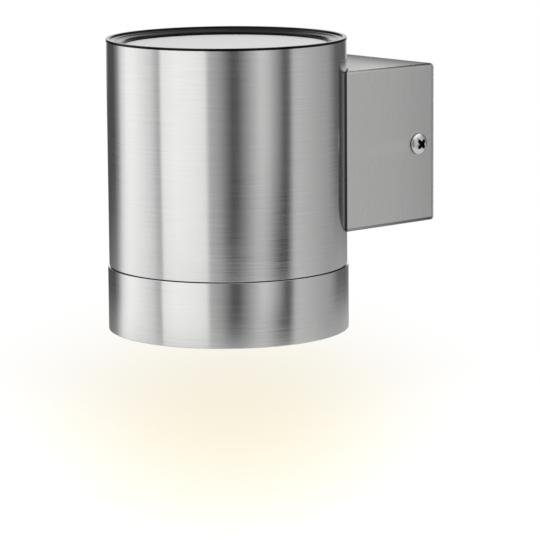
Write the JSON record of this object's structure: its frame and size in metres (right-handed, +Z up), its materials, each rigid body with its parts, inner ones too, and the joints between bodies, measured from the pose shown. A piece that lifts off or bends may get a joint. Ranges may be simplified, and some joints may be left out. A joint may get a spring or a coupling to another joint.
{
  "type": "tube wall light",
  "caption": "Brushed steel tube wall light that shines down, on a box arm screwed to a wall plate; the lower ring unscrews to free the lens.",
  "frame": {"origin": "centre of the wall plate's back face, which lies on the wall, midway between the two fixing slots", "axes": "+Y into the wall, +Z up, +X towards the side that the picture shows; the tube stands off towards -Y"},
  "size_m": [0.091, 0.119, 0.11],
  "materials": {
    "tube_steel": "satin brushed round the tube",
    "box_steel": "satin brushed upright",
    "disc_steel": "satin brushed",
    "plate_steel": "plain zinc-plated sheet",
    "fastener_steel": "bright stainless",
    "cast_aluminium": "turned, satin",
    "black_plastic": "gloss black",
    "black_rubber": "matt",
    "pale_silicone": "matt",
    "frosted_glass": "frosted",
    "white_plastic": "gloss white",
    "case_plastic": "fine matt",
    "board_white": "white solder mask",
    "board_green": "green solder mask",
    "phosphor": "matt yellow",
    "pad_grey": "matt",
    "coil_yellow": "tape wrap",
    "can_dark": "sleeved can",
    "brass": "machined",
    "lead_brown": "insulation",
    "lead_blue": "insulation",
    "lead_red": "insulation",
    "lead_black": "insulation",
    "lead_earth": "insulation"
  },
  "bodies": {
    "housing": {"tube_shell": "tube_steel", "cap_ring": "black_plastic", "cap_seal_ring": "black_rubber", "top_disc": "disc_steel", "top_disc_seal": "black_rubber", "top_disc_retainer": "black_plastic", "thread_collar": "cast_aluminium", "seam_seal": "black_rubber", "reflector": "white_plastic", "led_board": "board_white", "led_chips": "phosphor", "led_board_screws": "fastener_steel", "thermal_pad": "pad_grey", "heat_sink": "cast_aluminium", "heat_sink_screws": "fastener_steel", "driver_tray": "case_plastic", "driver_cover": "case_plastic", "driver_board": "board_green", "driver_transformer": "coil_yellow", "driver_capacitors": "can_dark", "driver_bracket": "plate_steel", "driver_screws": "fastener_steel", "live_lead": "lead_brown", "neutral_lead": "lead_blue", "led_plus_lead": "lead_red", "led_minus_lead": "lead_black", "arm_box": "box_steel", "saddle_plate": "plate_steel", "saddle_gasket": "black_rubber", "arm_bolts": "fastener_steel", "arm_washers": "fastener_steel", "arm_nuts": "fastener_steel", "lead_grommet": "black_rubber", "wall_plate": "plate_steel", "clinch_nuts": "fastener_steel", "entry_grommet": "black_rubber", "terminal_block": "case_plastic", "terminal_clamps": "brass", "terminal_screws": "brass", "terminal_fixings": "fastener_steel", "earth_stud": "brass", "earth_nut": "brass", "earth_lug": "fastener_steel", "earth_lead": "lead_earth", "wall_seal": "pale_silicone"},
    "lens_holder": {"lens": "frosted_glass", "lens_gasket": "pale_silicone"},
    "ring": {"lower_ring": "tube_steel", "ring_thread_insert": "cast_aluminium"},
    "right_washer": {"right_screw_washer": "pale_silicone"},
    "right_side_screw": {"right_screw": "fastener_steel"},
    "left_washer": {"left_screw_washer": "pale_silicone"},
    "left_side_screw": {"left_screw": "fastener_steel"}
  },
  "joints": [
    {"name": "ring_drop", "type": "slide", "parent": "housing", "child": "lens_holder", "axis": [0, 0, -1], "range_m": [0, 0.01]},
    {"name": "ring_turn", "type": "hinge", "parent": "lens_holder", "child": "ring", "pos_m": [0, -0.0735, -0.055], "axis": [0, 0, -1], "range_deg": [0, 1800]},
    {"name": "right_screw_out", "type": "slide", "parent": "housing", "child": "right_washer", "axis": [1, 0, 0], "range_m": [0, 0.01]},
    {"name": "right_screw_turn", "type": "hinge", "parent": "right_washer", "child": "right_side_screw", "pos_m": [0.0354, -0.0082, 0], "axis": [1, 0, 0], "range_deg": [0, 5143]},
    {"name": "left_screw_out", "type": "slide", "parent": "housing", "child": "left_washer", "axis": [-1, 0, 0], "range_m": [0, 0.01]},
    {"name": "left_screw_turn", "type": "hinge", "parent": "left_washer", "child": "left_side_screw", "pos_m": [-0.0354, -0.0082, 0], "axis": [-1, 0, 0], "range_deg": [0, 5143]}
  ],
  "couplings": [
    {"joint": "ring_drop", "follows": "ring_turn", "m_per_rad": 0.00031831},
    {"joint": "right_screw_turn", "follows": "right_screw_out", "rad_per_m": 8976},
    {"joint": "left_screw_turn", "follows": "left_screw_out", "rad_per_m": 8976}
  ]
}
